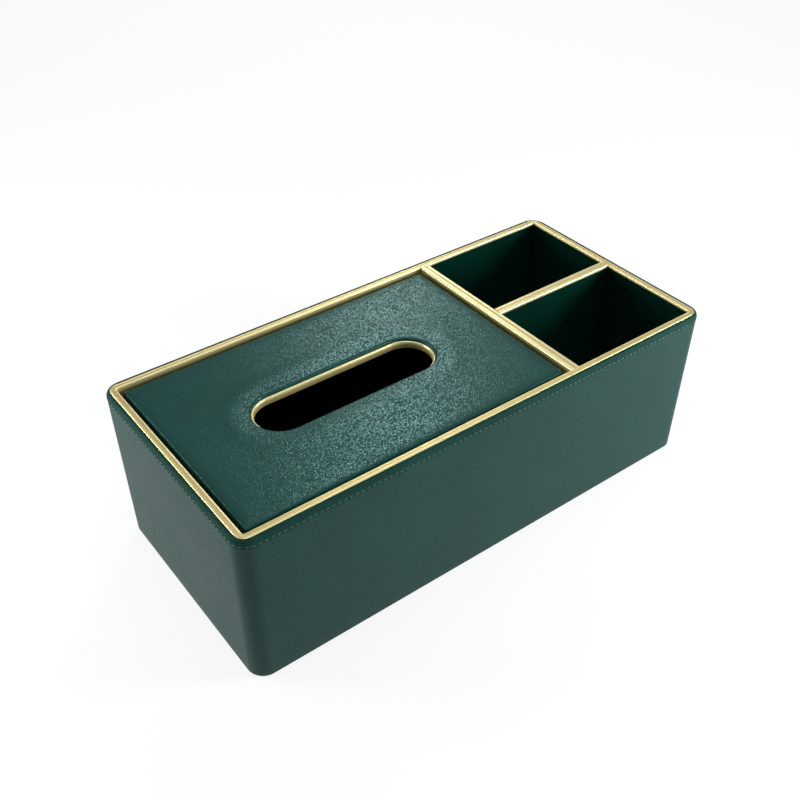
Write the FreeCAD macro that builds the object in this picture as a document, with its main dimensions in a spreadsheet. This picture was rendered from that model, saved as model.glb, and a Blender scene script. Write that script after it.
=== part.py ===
import FreeCAD, Part
import math
import operator
import os
import Sketcher
from FreeCAD import Rotation, Vector

# Tissue box with a lift-out padded lid and two open compartments.
# A board carcass stands on a base board, is wrapped in leather, and carries a metal trim frame
# in its rim.  The long side runs along X, the compartments are at the +X end, and the origin is
# the middle of the underside.  Every length is in millimetres.

SIZES = (
    ("case_length", 281.0, "outside length, over the rim band"),
    ("case_width", 131.2, "outside width, over the rim band"),
    ("case_height", 90.0, "underside to the top of the trim frame"),
    ("rim_corner", 10.2, "corner radius of the rim band in plan"),
    ("rim_drop", 0.2, "top of the rim leather below the top of the trim frame"),
    ("rim_roll", 1.3, "roll radius of the rim band's outer edge"),
    ("band_depth", 4.8, "height of the rim band down the side"),
    ("band_stand", 0.8, "how far the rim band stands out from the side skin"),
    ("leather", 0.8, "thickness of the leather"),
    ("wall", 3.3, "thickness of the carcass boards"),
    ("floor", 3.0, "thickness of the base board"),
    ("skin_heel", 0.5, "radius of the skin's lower edge"),
    ("turn_in", 12.0, "width of the skin turned in under the base board"),
    ("pad", 0.4, "thickness of the felt under the case"),
    ("pad_inset", 3.0, "felt's edge inside the skin"),
    ("lining", 0.8, "thickness of the compartment linings"),
    ("lining_set", 0.1, "lining's face behind the trim's edge"),
    ("fit", 0.1, "clearance between pieces that slip into one another"),
    ("frame_inset", 2.2, "trim frame's outer edge inside the rim"),
    ("frame_cap", 1.6, "thickness of the trim frame's cap"),
    ("frame_corner", 5.0, "outer corner radius of the trim frame"),
    ("frame_inner", 0.8, "inner corner radius of the trim frame"),
    ("frame_round", 0.8, "radius on the long top edges of the trim"),
    ("flute_width", 1.6, "width of the flute along the trim"),
    ("flute_floor", 0.6, "width of the flat floor of the flute"),
    ("flute_depth", 0.25, "depth of the flute along the trim"),
    ("seat_drop", 4.5, "height of the trim flange round the lid"),
    ("lid_opening", 183.7, "length of the lid opening"),
    ("partition", 3.7, "thickness of the cross partition"),
    ("divider", 3.4, "thickness of the divider between the compartments"),
    ("divider_shift", 1.1, "divider's middle from the case's middle"),
    ("ledge", 4.5, "thickness of the ledge boards round the chamber"),
    ("liner", 0.6, "thickness of the tissue chamber's lining"),
    ("lid_gap", 2.0, "gap all round the lid"),
    ("lid_recess", 1.2, "lid's top below the top of the trim frame"),
    ("lid_board", 3.0, "thickness of the lid's board"),
    ("lid_foam", 1.2, "thickness of the lid's foam"),
    ("lid_backing", 0.5, "thickness of the lid's backing sheet"),
    ("backing_inset", 1.0, "backing sheet's edge inside the lid"),
    ("lid_corner", 1.5, "corner radius of the lid in plan"),
    ("lid_roll", 1.4, "roll radius of the lid leather's outer edge"),
    ("slot_length", 102.0, "length of the tissue slot in the leather"),
    ("slot_width", 29.0, "width of the tissue slot in the leather"),
    ("slot_roll", 1.2, "roll radius of the leather at the slot"),
    ("ring_wall", 1.2, "wall of the metal ring in the slot"),
    ("ring_recess", 1.8, "ring's top below the leather's top"),
    ("ring_bevel", 0.4, "bevel on the ring's top edges"),
    ("ring_flange", 2.5, "width of the ring's flange under the lid board"),
)

doc = FreeCAD.newDocument("TissueBox")
sheet = doc.addObject("Spreadsheet::Sheet", "Sizes")
for row, (alias, number, meaning) in enumerate(SIZES, start=1):
    sheet.set(f"A{row}", meaning)
    sheet.set(f"B{row}", str(number))
    sheet.setAlias(f"B{row}", alias)
doc.recompute()


class Size:
    """A length as a sheet expression, with its present value for a sketch's first drawing."""

    def __init__(self, text, number):
        self.text = text
        self.number = number

    def combine(self, other, sign, work):
        if not isinstance(other, Size):
            other = Size(str(other), other)
        return Size(f"({self.text} {sign} {other.text})", work(self.number, other.number))

    def __add__(self, other):
        return self.combine(other, "+", operator.add)

    def __sub__(self, other):
        return self.combine(other, "-", operator.sub)

    def __mul__(self, other):
        return self.combine(other, "*", operator.mul)

    def __truediv__(self, other):
        return self.combine(other, "/", operator.truediv)

    def __neg__(self):
        return self * -1


def size(alias):
    return Size(f"Sizes.{alias}", sheet.get(alias))


def largest(one, other):
    return Size(f"max({one.text}; {other.text})", max(one.number, other.number))


def lean(run, rise):
    """Angle from upright, in degrees, of a side that leans by run over rise."""
    ratio = run / rise
    return Size(f"atan({ratio.text})", math.degrees(math.atan(ratio.number)))


ZERO = Size("0", 0.0)
QUARTER_TURN = math.pi / 2

# ---------------------------------------------------------------- shared lengths

leather = size("leather")
wall = size("wall")
lining = size("lining")
fit = size("fit")

# Insets from the rim band's outer face to each layer of a wall.
skin_inset = size("band_stand")
board_inset = skin_inset + leather
inside_inset = board_inset + wall
flange = lining + size("lining_set") - fit
trim_inset = inside_inset + lining + size("lining_set")
frame_inset = size("frame_inset")
frame_middle = (frame_inset + trim_inset) / 2
half_flute = size("flute_width") / 2
flute_lean = lean((size("flute_width") - size("flute_floor")) / 2, size("flute_depth"))
lap = size("frame_round")

# Heights, from the underside up.
pad_top = size("pad")
base_bottom = pad_top + leather
floor_top = base_bottom + size("floor")
case_top = size("case_height")
cap_bottom = case_top - size("frame_cap")
board_top = cap_bottom - leather
rim_top = case_top - size("rim_drop")
seat_bottom = cap_bottom - size("seat_drop")
lid_top = case_top - size("lid_recess")
foam_top = lid_top - leather
lid_board_top = foam_top - size("lid_foam")
lid_board_bottom = lid_board_top - size("lid_board")
lid_bottom = lid_board_bottom - size("lid_backing")
ring_top = lid_top - size("ring_recess")

# Planes of the inside, along X and across Y.
half_length = size("case_length") / 2
half_width = size("case_width") / 2
inside_x = half_length - inside_inset
inside_y = half_width - inside_inset
opening_left = -(half_length - trim_inset)
opening_right = opening_left + size("lid_opening")
opening_y = half_width - trim_inset
partition_left = opening_right + flange + fit
partition_right = partition_left + size("partition")
crossbar_right = partition_right + lining + size("lining_set")
divider_front = size("divider_shift") - size("divider") / 2
divider_back = size("divider_shift") + size("divider") / 2
ledge_left = -inside_x + size("ledge")
ledge_right = partition_left - size("ledge")
ledge_y = inside_y - size("ledge")

# The trim's two bars, in plan.  Their ends lap into the frame.
crossbar_x = (opening_right + crossbar_right) / 2
crossbar_width = crossbar_right - opening_right
crossbar_length = (opening_y + lap) * 2
divider_x = (crossbar_right - opening_left + lap) / 2
divider_length = lap - opening_left - crossbar_right
divider_width = size("divider") + (lining + size("lining_set")) * 2

# The lid, in plan.
lid_left = opening_left + size("lid_gap")
lid_right = opening_right - size("lid_gap")
lid_x = (lid_left + lid_right) / 2
lid_length = lid_right - lid_left
lid_width = (opening_y - size("lid_gap")) * 2


def outline(inset):
    """Length and width of the case's outline, moved inward by inset."""
    return size("case_length") - inset * 2, size("case_width") - inset * 2


def outline_radius(inset):
    return size("rim_corner") - inset


# ---------------------------------------------------------------- sketches and features

def bind(thing, path, length):
    thing.setExpression(path, length.text)


def place(thing, x=ZERO, y=ZERO, z=ZERO):
    for axis, length in (("x", x), ("y", y), ("z", z)):
        bind(thing, f"Placement.Base.{axis}", length)


def new_body(label, x=ZERO, y=ZERO, z=ZERO):
    body = doc.addObject("PartDesign::Body", label)
    body.Label = label
    place(body, x, y, z)
    return body


def new_sketch(body, level=ZERO, role="XY_Plane"):
    """A sketch on one of the body's own origin planes, raised along its normal by level."""
    sketch = body.newObject("Sketcher::SketchObject", body.Name + "_sketch")
    plane = [feature for feature in body.Origin.OriginFeatures if feature.Role == role][0]
    sketch.AttachmentSupport = [(plane, "")]
    sketch.MapMode = "FlatFace"
    bind(sketch, "AttachmentOffset.Base.z", level)
    return sketch


def dimension(sketch, length, kind, *where):
    """A driving constraint whose value follows the sheet."""
    index = sketch.addConstraint(Sketcher.Constraint(kind, *where, length.number))
    bind(sketch, f"Constraints[{index}]", length)


def shift(sketch, x=ZERO, y=ZERO):
    bind(sketch, "AttachmentOffset.Base.x", x)
    bind(sketch, "AttachmentOffset.Base.y", y)


def draw_rectangle(sketch, length, width):
    """A rectangle centred on the sketch's origin."""
    a = length.number / 2
    b = width.number / 2
    corners = [Vector(-a, -b), Vector(a, -b), Vector(a, b), Vector(-a, b)]
    first = sketch.GeometryCount
    for start, end in zip(corners, corners[1:] + corners[:1]):
        sketch.addGeometry(Part.LineSegment(start, end), False)
    for side in range(4):
        following = first + (side + 1) % 4
        sketch.addConstraint(Sketcher.Constraint("Coincident", first + side, 2, following, 1))
        kind = "Horizontal" if side % 2 == 0 else "Vertical"
        sketch.addConstraint(Sketcher.Constraint(kind, first + side))
    sketch.addConstraint(Sketcher.Constraint("Symmetric", first, 1, first + 2, 1, -1, 1))
    dimension(sketch, length, "DistanceX", first, 1, first, 2)
    dimension(sketch, width, "DistanceY", first + 1, 1, first + 1, 2)


def draw_rounded(sketch, length, width, radius):
    """A rectangle with round corners, centred on the sketch's origin."""
    r = radius.number
    a = length.number / 2
    b = width.number / 2
    centres = [Vector(a - r, r - b), Vector(a - r, b - r), Vector(r - a, b - r), Vector(r - a, r - b)]
    starts = [Vector(r - a, -b), Vector(a, r - b), Vector(a - r, b), Vector(-a, b - r)]
    ends = [Vector(a - r, -b), Vector(a, b - r), Vector(r - a, b), Vector(-a, r - b)]
    first = sketch.GeometryCount
    for side in range(4):
        sketch.addGeometry(Part.LineSegment(starts[side], ends[side]), False)
        circle = Part.Circle(centres[side], Vector(0, 0, 1), r)
        arc = Part.ArcOfCircle(circle, (side - 1) * QUARTER_TURN, side * QUARTER_TURN)
        sketch.addGeometry(arc, False)
    for side in range(4):
        line = first + 2 * side
        arc = line + 1
        following = first + (2 * side + 2) % 8
        sketch.addConstraint(Sketcher.Constraint("Tangent", line, 2, arc, 1))
        sketch.addConstraint(Sketcher.Constraint("Tangent", arc, 2, following, 1))
        kind = "Horizontal" if side % 2 == 0 else "Vertical"
        sketch.addConstraint(Sketcher.Constraint(kind, line))
    for arc in (first + 3, first + 5, first + 7):
        sketch.addConstraint(Sketcher.Constraint("Equal", first + 1, arc))
    sketch.addConstraint(Sketcher.Constraint("Symmetric", first + 1, 3, first + 5, 3, -1, 1))
    dimension(sketch, radius, "Radius", first + 1)
    dimension(sketch, length - radius * 2, "DistanceX", first, 1, first, 2)
    dimension(sketch, width - radius * 2, "DistanceY", first + 2, 1, first + 2, 2)


def draw_stadium(sketch, length, width):
    """A slot with round ends, centred on the sketch's origin and lying along X."""
    r = width.number / 2
    run = length.number / 2 - r
    first = sketch.GeometryCount
    sketch.addGeometry(Part.LineSegment(Vector(-run, -r), Vector(run, -r)), False)
    right = Part.Circle(Vector(run, 0), Vector(0, 0, 1), r)
    sketch.addGeometry(Part.ArcOfCircle(right, -QUARTER_TURN, QUARTER_TURN), False)
    sketch.addGeometry(Part.LineSegment(Vector(run, r), Vector(-run, r)), False)
    left = Part.Circle(Vector(-run, 0), Vector(0, 0, 1), r)
    sketch.addGeometry(Part.ArcOfCircle(left, QUARTER_TURN, 3 * QUARTER_TURN), False)
    for edge in range(4):
        following = first + (edge + 1) % 4
        sketch.addConstraint(Sketcher.Constraint("Tangent", first + edge, 2, following, 1))
    sketch.addConstraint(Sketcher.Constraint("Equal", first + 1, first + 3))
    sketch.addConstraint(Sketcher.Constraint("Horizontal", first))
    sketch.addConstraint(Sketcher.Constraint("Symmetric", first + 1, 3, first + 3, 3, -1, 1))
    dimension(sketch, width / 2, "Radius", first + 1)
    dimension(sketch, length - width, "DistanceX", first, 1, first, 2)


def pad(body, sketch, height):
    feature = body.newObject("PartDesign::Pad", body.Name + "_pad")
    feature.Profile = sketch
    bind(feature, "Length", height)
    sketch.Visibility = False
    doc.recompute()
    return feature


def pocket(body, sketch, depth, upward=False, slope=None):
    """Cuts the sketch's outline down, or up, from the sketch, and checks that it did cut.

    With a slope, in degrees from upright, the cut narrows on its way in.
    """
    before = body.Shape.Volume
    feature = body.newObject("PartDesign::Pocket", body.Name + "_pocket")
    feature.Profile = sketch
    feature.Reversed = upward
    bind(feature, "Length", depth)
    if slope is not None:
        bind(feature, "TaperAngle", -slope)
    sketch.Visibility = False
    doc.recompute()
    if not body.Shape.Volume < before:
        raise RuntimeError(f"{feature.Name} cuts nothing")
    return feature


def edges_at(feature, level, inside=None):
    """Names of the edges that lie flat at a height, inside a half length and half width."""
    names = []
    for number, edge in enumerate(feature.Shape.Edges, start=1):
        box = edge.BoundBox
        flat = abs(box.ZMin - level.number) < 1e-4 and abs(box.ZMax - level.number) < 1e-4
        reach_x = max(abs(box.XMin), abs(box.XMax))
        reach_y = max(abs(box.YMin), abs(box.YMax))
        if inside is None:
            held = True
        else:
            held = reach_x < inside[0].number + 1e-4 and reach_y < inside[1].number + 1e-4
        if flat and held:
            names.append(f"Edge{number}")
    return names


def round_edges(body, feature, names, radius):
    fillet = body.newObject("PartDesign::Fillet", body.Name + "_round")
    fillet.Base = (feature, names)
    bind(fillet, "Radius", radius)
    doc.recompute()
    return fillet


def bevel_edges(body, feature, names, width):
    chamfer = body.newObject("PartDesign::Chamfer", body.Name + "_bevel")
    chamfer.Base = (feature, names)
    bind(chamfer, "Size", width)
    doc.recompute()
    return chamfer


def box(label, low, high):
    """A plain board or block between two corners."""
    block = doc.addObject("Part::Box", label)
    block.Label = label
    for side, start, end in zip(("Length", "Width", "Height"), low, high):
        bind(block, side, end - start)
    place(block, *low)
    return block


def cup(label, low, high, thickness):
    """An open-topped lining: floor and four walls."""
    body = new_body(label, (low[0] + high[0]) / 2, (low[1] + high[1]) / 2, low[2])
    length = high[0] - low[0]
    width = high[1] - low[1]
    height = high[2] - low[2]
    outside = new_sketch(body)
    draw_rectangle(outside, length, width)
    pad(body, outside, height)
    inside = new_sketch(body, height)
    draw_rectangle(inside, length - thickness * 2, width - thickness * 2)
    pocket(body, inside, height - thickness)
    return body


# ---------------------------------------------------------------- carcass

def base_board():
    body = new_body("base_board", z=base_bottom)
    sketch = new_sketch(body)
    draw_rounded(sketch, *outline(board_inset), outline_radius(board_inset))
    pad(body, sketch, size("floor"))
    return body


def corner_post(label, quarter_turns, x, y):
    """A post with a round outside and a square rebate inside, between two wall boards."""
    body = new_body(label, x, y, floor_top)
    body.Placement.Rotation = Rotation(Vector(0, 0, 1), 90 * quarter_turns)
    radius = outline_radius(board_inset)
    outside = radius.number
    inside = radius.number - wall.number
    sketch = new_sketch(body)
    corners = [Vector(0, outside), Vector(0, inside), Vector(inside, inside), Vector(inside, 0),
               Vector(outside, 0)]
    for start, end in zip(corners, corners[1:]):
        sketch.addGeometry(Part.LineSegment(start, end), False)
    circle = Part.Circle(Vector(0, 0), Vector(0, 0, 1), outside)
    sketch.addGeometry(Part.ArcOfCircle(circle, 0, QUARTER_TURN), False)
    for line, kind in enumerate(("Vertical", "Horizontal", "Vertical", "Horizontal")):
        sketch.addConstraint(Sketcher.Constraint(kind, line))
        if line < 3:
            sketch.addConstraint(Sketcher.Constraint("Coincident", line, 2, line + 1, 1))
    sketch.addConstraint(Sketcher.Constraint("Coincident", 3, 2, 4, 1))
    sketch.addConstraint(Sketcher.Constraint("Coincident", 4, 2, 0, 1))
    sketch.addConstraint(Sketcher.Constraint("Coincident", 4, 3, -1, 1))
    sketch.addConstraint(Sketcher.Constraint("PointOnObject", 0, 1, -2))
    sketch.addConstraint(Sketcher.Constraint("PointOnObject", 3, 2, -1))
    dimension(sketch, radius, "Radius", 4)
    dimension(sketch, wall, "DistanceY", 0, 2, 0, 1)
    dimension(sketch, wall, "DistanceX", 3, 1, 3, 2)
    pad(body, sketch, board_top - floor_top)
    return body


def carcass():
    post = outline_radius(board_inset)
    outer_x = half_length - board_inset
    outer_y = half_width - board_inset
    post_x = outer_x - post
    post_y = outer_y - post
    pieces = [
        base_board(),
        box("front_board", (-post_x, -outer_y, floor_top), (post_x, -inside_y, board_top)),
        box("back_board", (-post_x, inside_y, floor_top), (post_x, outer_y, board_top)),
        box("left_end_board", (-outer_x, -post_y, floor_top), (-inside_x, post_y, board_top)),
        box("right_end_board", (inside_x, -post_y, floor_top), (outer_x, post_y, board_top)),
        corner_post("corner_post_back_right", 0, post_x, post_y),
        corner_post("corner_post_back_left", 1, -post_x, post_y),
        corner_post("corner_post_front_left", 2, -post_x, -post_y),
        corner_post("corner_post_front_right", 3, post_x, -post_y),
        box("partition_board", (partition_left, -inside_y, floor_top),
            (partition_right, inside_y, cap_bottom)),
        box("divider_board", (partition_right, divider_front, floor_top),
            (inside_x, divider_back, cap_bottom)),
        box("ledge_board_front", (-inside_x, -inside_y, floor_top),
            (partition_left, -ledge_y, lid_bottom)),
        box("ledge_board_back", (-inside_x, ledge_y, floor_top),
            (partition_left, inside_y, lid_bottom)),
        box("ledge_board_left", (-inside_x, -ledge_y, floor_top),
            (ledge_left, ledge_y, lid_bottom)),
        box("ledge_board_right", (ledge_right, -ledge_y, floor_top),
            (partition_left, ledge_y, lid_bottom)),
    ]
    return pieces


# ---------------------------------------------------------------- linings, skin and felt

def linings():
    return [
        cup("chamber_lining", (ledge_left, -ledge_y, floor_top),
            (ledge_right, ledge_y, lid_bottom), size("liner")),
        cup("front_compartment_lining", (partition_right, -inside_y, floor_top),
            (inside_x, divider_front, cap_bottom), lining),
        cup("back_compartment_lining", (partition_right, divider_back, floor_top),
            (inside_x, inside_y, cap_bottom), lining),
    ]


def side_skin():
    """The leather round the four sides, turned in under the base board."""
    body = new_body("side_skin", z=pad_top)
    height = board_top - pad_top
    outside = new_sketch(body)
    draw_rounded(outside, *outline(skin_inset), outline_radius(skin_inset))
    block = pad(body, outside, height)
    round_edges(body, block, edges_at(block, ZERO), size("skin_heel"))
    inside = new_sketch(body, height)
    draw_rounded(inside, *outline(board_inset), outline_radius(board_inset))
    pocket(body, inside, height - leather)
    window = new_sketch(body, height)
    draw_rectangle(window, *outline(skin_inset + size("turn_in")))
    pocket(body, window, height)
    return body


def rim_band():
    """The leather band rolled over the rim: out, down over the skin, and in under the trim."""
    bottom = rim_top - size("band_depth")
    body = new_body("rim_band", z=bottom)
    outside = new_sketch(body)
    draw_rounded(outside, *outline(ZERO), outline_radius(ZERO))
    block = pad(body, outside, size("band_depth"))
    round_edges(body, block, edges_at(block, size("band_depth")), size("rim_roll"))
    seat = new_sketch(body, size("band_depth"))
    draw_rounded(seat, *outline(frame_inset), size("frame_corner"))
    pocket(body, seat, rim_top - cap_bottom)
    mouth = new_sketch(body, size("band_depth"))
    draw_rectangle(mouth, *outline(inside_inset))
    pocket(body, mouth, size("band_depth"))
    under = new_sketch(body)
    draw_rounded(under, *outline(skin_inset), outline_radius(skin_inset))
    pocket(body, under, board_top - bottom, upward=True)
    return body


def base_felt():
    """The felt under the case, with a raised middle that fills the window in the skin."""
    body = new_body("base_felt")
    outside = new_sketch(body)
    felt_inset = skin_inset + size("pad_inset")
    draw_rounded(outside, *outline(felt_inset), outline_radius(felt_inset))
    pad(body, outside, pad_top)
    middle = new_sketch(body, pad_top)
    draw_rectangle(middle, *outline(skin_inset + size("turn_in") + fit))
    pad(body, middle, leather)
    return body


# ---------------------------------------------------------------- trim

def straight_flute(body, level, length, width):
    """A shallow groove with leaning sides, along the middle of a bar's top."""
    groove = new_sketch(body, level)
    draw_rectangle(groove, length, width)
    return pocket(body, groove, size("flute_depth"), slope=flute_lean)


def lap_seat(body, level, x, y, length, width):
    """A notch through the frame's rounded inner edge, where a bar's end laps into it."""
    notch = new_sketch(body, level)
    shift(notch, x, y)
    draw_rectangle(notch, length, width)
    return pocket(body, notch, size("frame_cap"))


def top_frame():
    """The trim round the rim, with a flange on three sides of the lid opening.

    It is a solid plate until its outer edge is rounded, so that every corner keeps its radius.
    """
    body = new_body("top_frame", z=seat_bottom)
    cap_level = size("seat_drop")
    top_level = cap_level + size("frame_cap")
    mouth = outline(trim_inset)
    seat_length = opening_right - opening_left + flange
    cap = new_sketch(body, cap_level)
    draw_rounded(cap, *outline(frame_inset), size("frame_corner"))
    plate = pad(body, cap, size("frame_cap"))
    round_edges(body, plate, edges_at(plate, top_level), size("frame_round"))
    seat = new_sketch(body)
    shift(seat, opening_right - seat_length / 2)
    draw_rounded(seat, seat_length, (opening_y + flange) * 2, flange + size("frame_inner"))
    pad(body, seat, cap_level)
    opening = new_sketch(body, top_level)
    draw_rounded(opening, *mouth, size("frame_inner"))
    ring = pocket(body, opening, top_level)
    inner_edges = edges_at(ring, top_level, (mouth[0] / 2, mouth[1] / 2))
    round_edges(body, ring, inner_edges, size("frame_round"))
    groove = new_sketch(body, top_level)
    for inset in (frame_middle - half_flute, frame_middle + half_flute):
        radius = largest(size("frame_corner") + frame_inset - inset, fit)
        draw_rounded(groove, *outline(inset), radius)
    pocket(body, groove, size("flute_depth"), slope=flute_lean)
    lap_seat(body, top_level, crossbar_x, ZERO, crossbar_width, crossbar_length)
    lap_seat(body, top_level, divider_x, size("divider_shift"), divider_length, divider_width)
    return body


def crossbar():
    """The trim bar between the lid and the compartments, with the flange on the lid's side."""
    top_level = size("seat_drop") + size("frame_cap")
    body = new_body("crossbar", crossbar_x, ZERO, seat_bottom)
    cap = new_sketch(body, size("seat_drop"))
    draw_rectangle(cap, crossbar_width, crossbar_length)
    bar = pad(body, cap, size("frame_cap"))
    long_edges = [name for name in edges_at(bar, top_level)
                  if bar.getSubObject(name).BoundBox.YLength > crossbar_width.number]
    round_edges(body, bar, long_edges, size("frame_round"))
    straight_flute(body, top_level, size("flute_width"), crossbar_length + lap * 2)
    seat = new_sketch(body)
    shift(seat, (flange - crossbar_width) / 2)
    draw_rectangle(seat, flange, opening_y * 2)
    pad(body, seat, size("seat_drop"))
    return body


def divider_bar():
    """The trim bar between the two compartments."""
    body = new_body("divider_bar", divider_x, size("divider_shift"), cap_bottom)
    cap = new_sketch(body)
    draw_rectangle(cap, divider_length, divider_width)
    bar = pad(body, cap, size("frame_cap"))
    long_edges = [name for name in edges_at(bar, size("frame_cap"))
                  if bar.getSubObject(name).BoundBox.XLength > divider_width.number]
    round_edges(body, bar, long_edges, size("frame_round"))
    straight_flute(body, size("frame_cap"), divider_length + lap * 2, size("flute_width"))
    return body


# ---------------------------------------------------------------- lid

def lid_sheet(label, level, thickness, inset, slot_margin):
    """A flat layer of the lid with the tissue slot through it."""
    body = new_body(label, lid_x, ZERO, level)
    outside = new_sketch(body)
    corner = largest(size("lid_corner") - inset, fit)
    draw_rounded(outside, lid_length - inset * 2, lid_width - inset * 2, corner)
    pad(body, outside, thickness)
    slot = new_sketch(body, thickness)
    draw_stadium(slot, size("slot_length") + slot_margin * 2, size("slot_width") + slot_margin * 2)
    pocket(body, slot, thickness)
    return body


def lid_leather():
    """The lid's cover: top, skirts down the board's edges, and a lip down inside the slot."""
    body = new_body("lid_leather", lid_x, ZERO, lid_board_bottom)
    height = lid_top - lid_board_bottom
    outside = new_sketch(body)
    draw_rounded(outside, lid_length, lid_width, size("lid_corner"))
    block = pad(body, outside, height)
    round_edges(body, block, edges_at(block, height), size("lid_roll"))
    hollow = new_sketch(body)
    draw_rounded(hollow, lid_length - leather * 2, lid_width - leather * 2,
                 largest(size("lid_corner") - leather, fit))
    draw_stadium(hollow, size("slot_length") + leather * 2, size("slot_width") + leather * 2)
    pocket(body, hollow, height - leather, upward=True)
    slot = new_sketch(body, height)
    draw_stadium(slot, size("slot_length"), size("slot_width"))
    cut = pocket(body, slot, height)
    lip_edges = edges_at(cut, height, (size("slot_length") / 2, size("slot_width") / 2))
    round_edges(body, cut, lip_edges, size("slot_roll"))
    return body


def slot_ring():
    """The metal ring in the slot, held by a flange under the lid board."""
    body = new_body("slot_ring", lid_x, ZERO, lid_bottom)
    length = size("slot_length") - fit * 2
    width = size("slot_width") - fit * 2
    height = ring_top - lid_bottom
    tube = new_sketch(body)
    draw_stadium(tube, length, width)
    block = pad(body, tube, height)
    bevel_edges(body, block, edges_at(block, height), size("ring_bevel"))
    foot = new_sketch(body)
    draw_stadium(foot, length + size("ring_flange") * 2, width + size("ring_flange") * 2)
    pad(body, foot, size("lid_backing"))
    bore = new_sketch(body, height)
    bore_length = length - size("ring_wall") * 2
    bore_width = width - size("ring_wall") * 2
    draw_stadium(bore, bore_length, bore_width)
    hollow = pocket(body, bore, height)
    inner_edges = edges_at(hollow, height, (bore_length / 2, bore_width / 2))
    bevel_edges(body, hollow, inner_edges, size("ring_bevel"))
    return body


def lid():
    return [
        lid_sheet("lid_board", lid_board_bottom, size("lid_board"), leather, leather),
        lid_sheet("lid_foam", lid_board_top, size("lid_foam"), leather, leather),
        lid_leather(),
        slot_ring(),
        lid_sheet("lid_backing", lid_bottom, size("lid_backing"), size("backing_inset"),
                  size("ring_flange")),
    ]


# ---------------------------------------------------------------- build, check and write

pieces = carcass() + linings() + [side_skin(), rim_band(), base_felt()]
pieces += [top_frame(), crossbar(), divider_bar()] + lid()
doc.recompute()

faults = [thing.Label for thing in doc.Objects if {"Invalid", "Error"} & set(thing.State)]
faults += [piece.Label for piece in pieces
           if piece.Shape.isNull() or not piece.Shape.isValid() or not piece.Shape.Solids]
if faults:
    raise RuntimeError("failed: " + ", ".join(faults))

os.makedirs("parts", exist_ok=True)
for piece in pieces:
    piece.Shape.exportStep(os.path.join("parts", piece.Label + ".step"))
    print(f"{piece.Label}: {len(piece.Shape.Solids)} solid, {piece.Shape.Volume:.1f} mm3")
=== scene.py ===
"""Looks of a leather tissue box: padded lid, metal trim, stitched rim band and open compartments.

The case stands on the floor with its long side along X and its compartments at the +X end.
Lengths are in metres.
"""

import math

import bmesh
import bpy
from mathutils import Matrix, Vector, noise


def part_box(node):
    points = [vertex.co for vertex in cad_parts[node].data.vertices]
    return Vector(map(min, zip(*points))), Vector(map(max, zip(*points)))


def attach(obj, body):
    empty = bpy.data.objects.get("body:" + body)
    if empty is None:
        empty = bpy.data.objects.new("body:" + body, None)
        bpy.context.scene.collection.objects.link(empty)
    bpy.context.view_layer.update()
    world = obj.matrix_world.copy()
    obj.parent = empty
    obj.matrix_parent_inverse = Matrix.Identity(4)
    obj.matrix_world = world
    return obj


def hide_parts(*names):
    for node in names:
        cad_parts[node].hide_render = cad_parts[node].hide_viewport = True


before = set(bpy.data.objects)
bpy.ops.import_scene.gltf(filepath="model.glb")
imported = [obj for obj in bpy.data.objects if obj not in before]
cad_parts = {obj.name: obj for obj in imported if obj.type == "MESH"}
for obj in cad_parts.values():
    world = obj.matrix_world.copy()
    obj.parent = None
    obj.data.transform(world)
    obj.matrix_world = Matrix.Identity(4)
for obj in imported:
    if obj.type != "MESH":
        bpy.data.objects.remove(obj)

bl_info = {
    "name": "Tissue Box",
    "version": (1, 0, 0),
    "blender": (4, 5, 0),
    "location": "3D View > Sidebar > Tissue Box",
    "description": "Dresses a leather tissue box with its padded lid, stitching and metal trim",
    "category": "Object",
}

MM = 0.001

# ---- places taken from the frame

rim_low, rim_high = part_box("rim_band")
skin_low, skin_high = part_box("side_skin")
lid_low, lid_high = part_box("lid_leather")
crossbar_low, crossbar_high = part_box("crossbar")
divider_low, divider_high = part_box("divider_bar")
ring_low, ring_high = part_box("slot_ring")
_, trim_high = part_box("top_frame")
_, foam_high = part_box("lid_foam")
_, lining_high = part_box("back_compartment_lining")

HALF_LENGTH = rim_high.x
HALF_WIDTH = rim_high.y
SKIN_INSET = HALF_LENGTH - skin_high.x
TRIM_INSET = HALF_LENGTH - trim_high.x
INSIDE_INSET = HALF_LENGTH - lining_high.x
CROSSBAR_X = (crossbar_low.x + crossbar_high.x) / 2
DIVIDER_Y = (divider_low.y + divider_high.y) / 2
LID_X = (lid_low.x + lid_high.x) / 2

# ---- lengths of thin layers and metal

LEATHER = 0.8 * MM
BACKING = 0.5 * MM
TURN_IN = 7.5 * MM
RIM_CORNER = 8.8 * MM
TRIM_CAP = 1.6 * MM
TRIM_WIDTH = 3.6 * MM
RING_WALL = 1.2 * MM
RING_GAP = 0.1 * MM

# ---- where the painted shade on the metal's flanks starts and ends below its top, and how metallic the metal is

FLANK_START = 0.4 * MM
FLANK_END = 3.2 * MM
RING_BRIGHT = 0.8 * MM
RING_FLANK = 1.8 * MM
GILDING_METAL = 0.55
FLANK_METAL = 0.7


# ---- sizes and colours that a user would change

def length(name, description, millimetres):
    return bpy.props.FloatProperty(name=name, description=description, default=millimetres * MM,
                                   min=0.0, precision=5, unit="LENGTH", subtype="DISTANCE")


def colour(name, description, *tint):
    return bpy.props.FloatVectorProperty(name=name, description=description, size=4,
                                         default=(*tint, 1.0), min=0.0, max=1.0,
                                         subtype="COLOR")


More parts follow.
